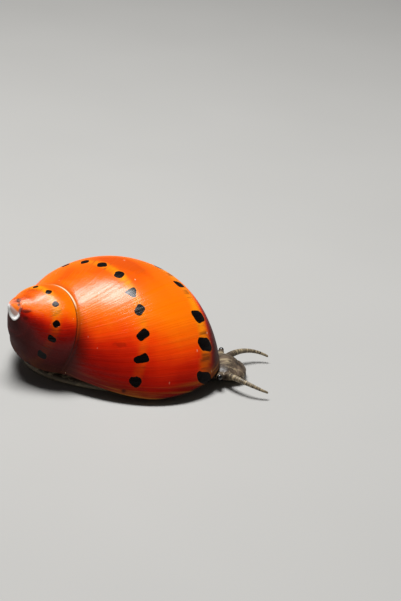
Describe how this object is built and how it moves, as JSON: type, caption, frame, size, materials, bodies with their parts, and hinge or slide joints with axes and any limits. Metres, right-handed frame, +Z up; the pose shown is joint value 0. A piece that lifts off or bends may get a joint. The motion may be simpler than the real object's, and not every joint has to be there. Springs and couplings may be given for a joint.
{
  "type": "nerite snail",
  "caption": "Still, life-size nerite snail: a low right-handed coiled shell over a broad flat foot, with a small head, feelers and eyes at the front.",
  "frame": {"origin": "middle of the flat sole, on the floor", "axes": "+X forward along the foot, +Y to the animal's left, +Z up"},
  "size_m": [0.0294, 0.0188, 0.0116],
  "materials": {
    "shell": "glossy orange shell with spiral rows of black spots",
    "apex": "worn chalky shell tip",
    "deck": "smooth cream callus",
    "operculum": "horny, satin",
    "flesh": "wet mottled grey-brown skin",
    "sole": "wet pale skin",
    "eye": "wet black"
  },
  "bodies": {
    "root": {"shell_body_whorl": "shell", "shell_spire": "shell", "shell_apex": "apex", "shell_deck": "deck", "operculum": "operculum", "foot": "sole", "foot_column": "flesh", "mantle_collar": "flesh", "neck": "flesh", "head": "flesh", "snout": "flesh", "tentacle_right": "flesh", "eye_stalk_right": "flesh", "eye_right": "eye", "tentacle_left": "flesh", "eye_stalk_left": "flesh", "eye_left": "eye"}
  },
  "joints": []
}
